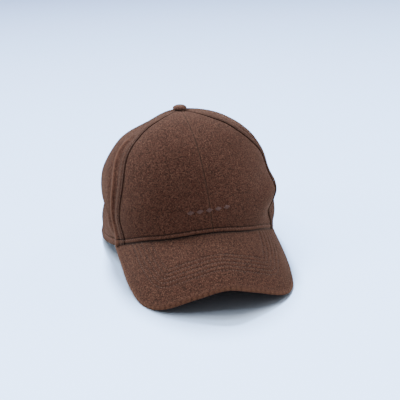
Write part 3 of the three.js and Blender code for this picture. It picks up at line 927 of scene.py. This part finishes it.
def sewing_tree():
    tree, given, end = new_tree("topstitching", (
        ("Pitch", "Float", STITCH_PITCH * MM), ("Stitch length", "Float", 2.5 * MM),
        ("Thread width", "Float", 0.5 * MM), ("Seed", "Int", 3), ("Thread", "Material", None),
    ))
    line = add_node(tree, "GeometryNodeMeshToCurve", dict(Mesh=given["Geometry"]))
    feeds = dict(Curve=line.outputs["Curve"], Length=given["Pitch"])
    even = add_node(tree, "GeometryNodeResampleCurve", feeds, mode="LENGTH")
    tangent = add_node(tree, "GeometryNodeInputTangent").outputs["Tangent"]
    size = three_sizes(tree, given["Stitch length"], given["Thread width"], given["Thread width"])
    feeds = dict(Seed=given["Seed"], **STITCH_SPREAD)
    chance = add_node(tree, "FunctionNodeRandomValue", feeds, data_type="FLOAT")
    feeds = dict(Vector=size, Scale=live_output(chance))
    vary = add_node(tree, "ShaderNodeVectorMath", feeds, operation="SCALE")
    return lay_shapes(
        tree, given, end, Points=even.outputs["Curve"], Instance=small_ball(tree, 7, 5),
        Rotation=align(tree, dict(Vector=tangent), axis="X"), Scale=vary.outputs["Vector"],
    )


# %% From a carrier to a plain mesh
def grow(name, carrier, tree, **values):
    """Runs a tree on a carrier object and keeps the result as a plain mesh."""
    modifier = carrier.modifiers.new(name, "NODES")
    modifier.node_group = tree
    keys = {s.name: s.identifier for s in tree.interface.items_tree if s.in_out == "INPUT"}
    for label, value in values.items():
        modifier[keys[label.replace("_", " ")]] = value
    shown = carrier.evaluated_get(bpy.context.evaluated_depsgraph_get())
    mesh = bpy.data.meshes.new_from_object(shown)
    carrier.modifiers.remove(modifier)
    bpy.data.objects.remove(carrier)
    mesh.name = name
    piece = bpy.data.objects.new(name, mesh)
    bpy.context.collection.objects.link(piece)
    return piece


def line_carrier(name, lines):
    """Loose edges along lines, which the tree turns into curves."""
    points, edges = [], []
    for line in lines:
        start = len(points)
        points += to_frame(line).tolist()
        edges += [(start + i, start + i + 1) for i in range(len(line) - 1)]
    mesh = bpy.data.meshes.new(name)
    mesh.from_pydata(points, edges, [])
    carrier = bpy.data.objects.new(name, mesh)
    bpy.context.collection.objects.link(carrier)
    return carrier


SEWING = sewing_tree()
print("sewing tree:", len(SEWING.nodes), "nodes")

# %% [markdown]
# The rows are read off the cloth itself. Where the measured distance from a
# seam, from the rim or from the peak's edge passes the row's place, the line
# crosses that strip of cloth, so each stitch lies in its own groove.

# %% Rows of stitching
STITCH_SINK = 0.12
TOP_ROWS_UNSEWN = 26
FEWEST_ROW_POINTS = 8


def row_line(points, measure, place):
    """The line where a measure equals a place, one point for each column of the grid."""
    line = []
    for column, values in zip(points, measure):
        order = np.argsort(values)
        if values[order[0]] < place < values[order[-1]]:
            line.append([np.interp(place, values[order], column[order, i]) for i in range(3)])
    return np.array(line)


crown_lines = []
for node, plan in PANELS.items():
    sewn = cloth[node]
    surface = sewn["outer"] - sewn["normal"] * STITCH_SINK
    crown_lines.append(row_line(surface, sewn["up"], HEM_STITCH))
    if plan.get("strip"):
        sewn_rows = slice(0, -TOP_ROWS_UNSEWN)
        upwards, near = (grid[:, sewn_rows].swapaxes(0, 1) for grid in (surface, sewn[plan["strip"]]))
        for place in STRIP_STITCHES:
            crown_lines.append(row_line(upwards, near, place))
carrier = line_carrier("crown_rows", crown_lines)
crown_stitches = grow("crown_stitches", carrier, SEWING, Pitch=STITCH_PITCH * MM, Thread=BROWN_THREAD)
declare(crown_stitches)

peak_lines = []
for side, sink in (("top", -STITCH_SINK), ("under", STITCH_SINK)):
    surface = peak_cloth[side] + peak_cloth["normal"] * sink
    for place in PEAK_ROWS_IN:
        line = row_line(surface, peak_cloth["inside"], place)
        if len(line) > FEWEST_ROW_POINTS:
            peak_lines.append(line)
carrier = line_carrier("peak_rows", peak_lines)
peak_stitches = grow("peak_stitches", carrier, SEWING, Pitch=STITCH_PITCH * MM, Thread=BROWN_THREAD)
declare(peak_stitches)

# %% [markdown]
# ## Embroidery
# A small ornament sits low on the front: a row of lozenges in satin stitch,
# close threads that each span the whole form. Every thread is one point with
# two attributes, the way that it spans and the way out of the cloth, and the
# tree lays one long stitch on each point.

# %% A node tree that lays satin stitches
def satin_tree():
    tree, given, end = new_tree("satin stitch", (
        ("Thread width", "Float", 0.5 * MM), ("Thread height", "Float", 0.6 * MM),
        ("Thread", "Material", None),
    ))
    kind = "GeometryNodeInputNamedAttribute"
    span, out = (
        live_output(add_node(tree, kind, dict(Name=name), data_type="FLOAT_VECTOR"))
        for name in ("span", "out")
    )
    along = align(tree, dict(Vector=span), axis="X")
    outward = align(tree, dict(Rotation=along, Vector=out), axis="Z", pivot_axis="X")
    length = add_node(tree, "ShaderNodeVectorMath", {0: span}, operation="LENGTH")
    size = three_sizes(tree, length.outputs["Value"], given["Thread width"], given["Thread height"])
    return lay_shapes(
        tree, given, end, Points=given["Geometry"], Instance=small_ball(tree, 8, 6),
        Rotation=outward, Scale=size,
    )


# %% The row of lozenges
ORNAMENT_ENDS = dict(angle=(-14.0, 14.6), v=(0.196, 0.214))
LOZENGES = 5
LOZENGE_WIDE = 6.6
LOZENGE_TALL = 4.4
SATIN_PITCH = 0.36
SATIN_LIFT = 0.1
SATIN_OVERHANG = 0.6
LINE_POINTS = 400
SMALL_RISE = 0.01


def lozenge_points():
    share = np.linspace(0, 1, LINE_POINTS)
    angle = np.radians(np.interp(share, (0, 1), ORNAMENT_ENDS["angle"]))
    v = np.interp(share, (0, 1), ORNAMENT_ENDS["v"])
    line = crown(angle, v)
    travelled = lengths_along(line)
    middles = np.linspace(LOZENGE_WIDE / 2, travelled[-1] - LOZENGE_WIDE / 2, LOZENGES)
    offsets = np.arange(-LOZENGE_WIDE / 2 + SATIN_PITCH, LOZENGE_WIDE / 2, SATIN_PITCH)
    at = (middles[:, None] + offsets).ravel()
    tall = np.tile(LOZENGE_TALL * (1 - np.abs(offsets) / (LOZENGE_WIDE / 2)), LOZENGES)
    angle, v = np.interp(at, travelled, angle), np.interp(at, travelled, v)
    normal = crown_normal(angle, v)
    up = unit(crown(angle, v + SMALL_RISE) - crown(angle, v - SMALL_RISE))
    face = crown(angle, v)
    place = face + normal * (drape(face) + SATIN_LIFT)[:, None]
    return place, up * (tall[:, None] + SATIN_OVERHANG), normal


place, span, out = lozenge_points()
carrier = line_carrier("lozenge_points", [place[i:i + 1] for i in range(len(place))])
for key, vectors in (("span", span * MM), ("out", out)):
    layer = carrier.data.attributes.new(key, "FLOAT_VECTOR", "POINT")
    layer.data.foreach_set("vector", vectors.astype(np.float32).ravel())
embroidery = grow("front_embroidery", carrier, satin_tree(), Thread=MAUVE_THREAD)
declare(embroidery)

# %% [markdown]
# ## Nap
# Brushed wool has a nap: short loose fibres that stand off the cloth and
# catch the light at its edges. The tree scatters points over a face, fewer in
# its creases, and lays a thin pointed fibre on each, turned at random and
# leaning nearly flat.

# %% The fibres' material
FIBRE_DARK = (0.05, 0.019, 0.013)
FIBRE_PALE = (0.26, 0.145, 0.1)
FIBRE_TINTS = dict(start=0.25, full=1.0)


def fibre_material():
    material, tree, shader = new_material("wool fibre")
    each = add_node(tree, "ShaderNodeNewGeometry").outputs["Random Per Island"]
    tint = rise(tree, each, **FIBRE_TINTS)
    feed(tree, shader, {
        "Base Color": blend_colour(tree, tint, FIBRE_DARK, FIBRE_PALE),
        "Roughness": 0.8, "Specular IOR Level": 0.2,
    })
    return material


WOOL_FIBRE = fibre_material()


# %% A node tree that grows a nap
FIBRE_LEAN = dict(Min=(1.1, 0, 0), Max=(1.5, 0, 2 * math.pi))
FIBRE_SPREAD = dict(Min=0.5, Max=1.2)
FIBRE_SHAPE = {"Vertices": 3, "Radius Top": 0.0, "Radius Bottom": 0.5, "Depth": 1.0}


def nap_tree():
    tree, given, end = new_tree("nap", (
        ("Density", "Float", 1.1e6), ("Fibre length", "Float", 1.3 * MM),
        ("Fibre width", "Float", 0.09 * MM), ("Seed", "Int", 5), ("Thread", "Material", None),
    ))

    def math_node(operation, first, second, **settings):
        node = add_node(tree, "ShaderNodeMath", {0: first, 1: second}, operation=operation, **settings)
        return node.outputs[0]

    def chance(kind, spread):
        feeds = dict(Seed=given["Seed"], **spread)
        return live_output(add_node(tree, "FunctionNodeRandomValue", feeds, data_type=kind))

    # Fewer fibres where the cloth's shade is painted.
    feeds = dict(Name="crease")
    shade_mark = add_node(tree, "GeometryNodeInputNamedAttribute", feeds, data_type="FLOAT")
    standing = math_node("SUBTRACT", 1, live_output(shade_mark), use_clamp=True)
    density = math_node("MULTIPLY", given["Density"], standing)
    feeds = dict(Mesh=given["Geometry"], Density=density, Seed=given["Seed"])
    scatter = add_node(tree, "GeometryNodeDistributePointsOnFaces", feeds)
    lean = chance("FLOAT_VECTOR", FIBRE_LEAN)
    by = add_node(tree, "FunctionNodeEulerToRotation", {0: lean}).outputs[0]
    feeds = {"Rotation": scatter.outputs["Rotation"], "Rotate By": by}
    turned = add_node(tree, "FunctionNodeRotateRotation", feeds, rotation_space="LOCAL")
    longer = chance("FLOAT", FIBRE_SPREAD)
    length = math_node("MULTIPLY", longer, given["Fibre length"])
    spike = add_node(tree, "GeometryNodeMeshCone", FIBRE_SHAPE, fill_type="NGON")
    return lay_shapes(
        tree, given, end, Points=scatter.outputs["Points"], Instance=spike.outputs["Mesh"],
        Rotation=turned.outputs["Rotation"],
        Scale=three_sizes(tree, given["Fibre width"], given["Fibre width"], length),
    )


NAP = nap_tree()


# %% Nap on the panels and the peak
def grow_nap(name, grid, crease, seed):
    faces = grid_faces(*grid.shape[:2])
    carrier = new_piece(name + "_face", grid, faces, WOOL_FIBRE, dict(crease=crease))
    declare(grow(name + "_nap", carrier, NAP, Seed=seed, Thread=WOOL_FIBRE))


for seed, node in enumerate(PANELS):
    grow_nap(node, cloth[node]["outer"], cloth[node]["crease"], seed)
grow_nap("peak", peak_cloth["top"], peak_cloth["crease"], len(PANELS))

# %% [markdown]
# ## Stage, light and camera
# The cap stands on a plain pale floor under soft light from all round, with the
# strongest from behind on the left and from the right. In a photo of a dark
# thing on white paper the paper is nearly too bright to print, but here a floor
# that bright would throw its light back under the cap and flatten it. So the
# floor that the camera sees has lamps of its own and gives no bounce, and a
# dimmer floor just under it, which the camera doesn't see, gives the bounce
# instead.

# %% Floors and world
FLOOR_SIZE = 12.0
FLOOR_GAP = 0.2
# The seen floor's colour darkens from the near colour to a dark far colour: painted shade towards the back.
FLOOR_SHADE_FADE = (-0.4, 1.1)
FLOOR_NEAR = (0.84, 0.9, 0.98)
FLOOR_FAR_SHADE = (0.13, 0.13, 0.16)
BOUNCE_GREY = (0.4, 0.4, 0.4)
ROOM_COLOUR = (0.85, 0.9, 1.0)
ROOM_STRENGTH = 0.2


def plain_floor(name, near, far, height):
    """A sheet of paper whose colour fades from near to far; a darker far colour paints shade towards the
    back.
    """
    mesh = bpy.data.meshes.new(name)
    half = FLOOR_SIZE / 2
    corners = [(x * half, y * half, height) for x, y in ((-1, -1), (1, -1), (1, 1), (-1, 1))]
    mesh.from_pydata(corners, [], [(0, 1, 2, 3)])
    floor = bpy.data.objects.new(name, mesh)
    bpy.context.collection.objects.link(floor)
    material, tree, shader = new_material(name)
    away = add_node(tree, "ShaderNodeSeparateXYZ", {0: object_place(tree)})
    share = rise(tree, away.outputs["Y"], *FLOOR_SHADE_FADE)
    feed(tree, shader, {
        "Base Color": blend_colour(tree, share, near, far),
        "Roughness": 0.8, "Specular IOR Level": 0.1,
    })
    mesh.materials.append(material)
    return floor


floor = plain_floor("pale_floor", FLOOR_NEAR, FLOOR_FAR_SHADE, 0.0)
floor.visible_diffuse = floor.visible_glossy = floor.visible_shadow = False
bounce = plain_floor("bounce_floor", BOUNCE_GREY, BOUNCE_GREY, -FLOOR_GAP * MM)
bounce.visible_camera = False
world = bpy.data.worlds.new("pale room")
world.use_nodes = True
room = world.node_tree.nodes["Background"]
feed(world.node_tree, room, dict(Color=ROOM_COLOUR, Strength=ROOM_STRENGTH))
bpy.context.scene.world = world

# %% Lamps
LAMP_AIM = Vector((0, 0, 0.06))
WHITE = (1, 1, 1)
FLOOR_LIGHT = (0.46, 0.67, 1.0)
FLOOR_FILL = (0.72, 0.84, 1.0)
CAP_LAMPS = (
    dict(name="overhead", place=(0.15, 0.45, 1.5), size=1.1, watts=9.5),
    dict(name="right", place=(1.2, 0.15, 1.1), size=0.8, watts=20),
    dict(name="back left", place=(-0.9, 0.9, 1.0), size=0.7, watts=35),
    dict(name="low left", place=(-1.1, -1.1, 0.45), size=0.8, watts=4),
    dict(name="front", place=(-0.1, -1.6, 0.45), size=1.0, watts=11.5),
)
FLOOR_LAMPS = (
    dict(name="floor from behind", place=(0.09, 2.45, 2.36), size=0.6, watts=900, tint=FLOOR_LIGHT),
    dict(name="floor from behind left", place=(-0.62, 1.69, 2.88), size=0.8, watts=150, tint=FLOOR_LIGHT),
    dict(name="floor from the right", place=(2.38, 1.38, 2.0), size=1.0, watts=42, tint=FLOOR_FILL),
    dict(name="floor from the left", place=(-1.47, 0.85, 2.94), size=0.9, watts=70, tint=FLOOR_FILL),
    dict(name="floor from low right", place=(3.06, 0.0, 1.49), size=0.9, watts=8, tint=FLOOR_FILL),
    dict(name="floor from low left", place=(-2.82, 0.0, 1.9), size=0.9, watts=46, tint=FLOOR_FILL),
)


def lamp_group(name, things):
    group = bpy.data.collections.new(name)
    for thing in things:
        group.objects.link(thing)
    return group


def soft_lamp(lights, name, place, size, watts, tint=WHITE):
    lamp = bpy.data.lights.new(name, "AREA")
    lamp.shape, lamp.size, lamp.energy, lamp.color = "DISK", size, watts, tint
    holder = bpy.data.objects.new(name, lamp)
    holder.location = place
    holder.rotation_euler = (LAMP_AIM - Vector(place)).to_track_quat("-Z", "Y").to_euler()
    holder.light_linking.receiver_collection = lights
    bpy.context.collection.objects.link(holder)


lit_meshes = [thing for thing in bpy.data.objects if thing.type == "MESH" and thing != floor]
cap_and_bounce = lamp_group("cap and bounce", lit_meshes)
seen_floor = lamp_group("seen floor", [floor])
for lights, lamps in ((cap_and_bounce, CAP_LAMPS), (seen_floor, FLOOR_LAMPS)):
    for row in lamps:
        soft_lamp(lights, **row)

# %% Camera
CAMERA_AZIMUTH = math.radians(-13.5)
CAMERA_ELEVATION = math.radians(24.5)
CAMERA_DISTANCE = 1.0
CAMERA_TARGET = Vector(to_frame([0, -30, 60]))
SENSOR = 36.0
PHOTO_SIDE = 400
FOCAL_PIXELS = 1010
FRAME_RIGHT_PIXELS = 6.65
FRAME_DOWN_PIXELS = 6.77

view = bpy.data.cameras.new("camera")
view.lens = FOCAL_PIXELS * SENSOR / PHOTO_SIDE
view.sensor_width = SENSOR
view.shift_x = FRAME_RIGHT_PIXELS / PHOTO_SIDE
view.shift_y = -FRAME_DOWN_PIXELS / PHOTO_SIDE
view.clip_start, view.clip_end = 0.05, 40
camera = bpy.data.objects.new("camera", view)
back = Vector((
    math.sin(CAMERA_AZIMUTH) * math.cos(CAMERA_ELEVATION),
    -math.cos(CAMERA_AZIMUTH) * math.cos(CAMERA_ELEVATION),
    math.sin(CAMERA_ELEVATION),
))
camera.location = CAMERA_TARGET + back * CAMERA_DISTANCE
camera.rotation_euler = (-back).to_track_quat("-Z", "Y").to_euler()
bpy.context.collection.objects.link(camera)
bpy.context.scene.camera = camera
print("lens, mm:", round(view.lens, 1))
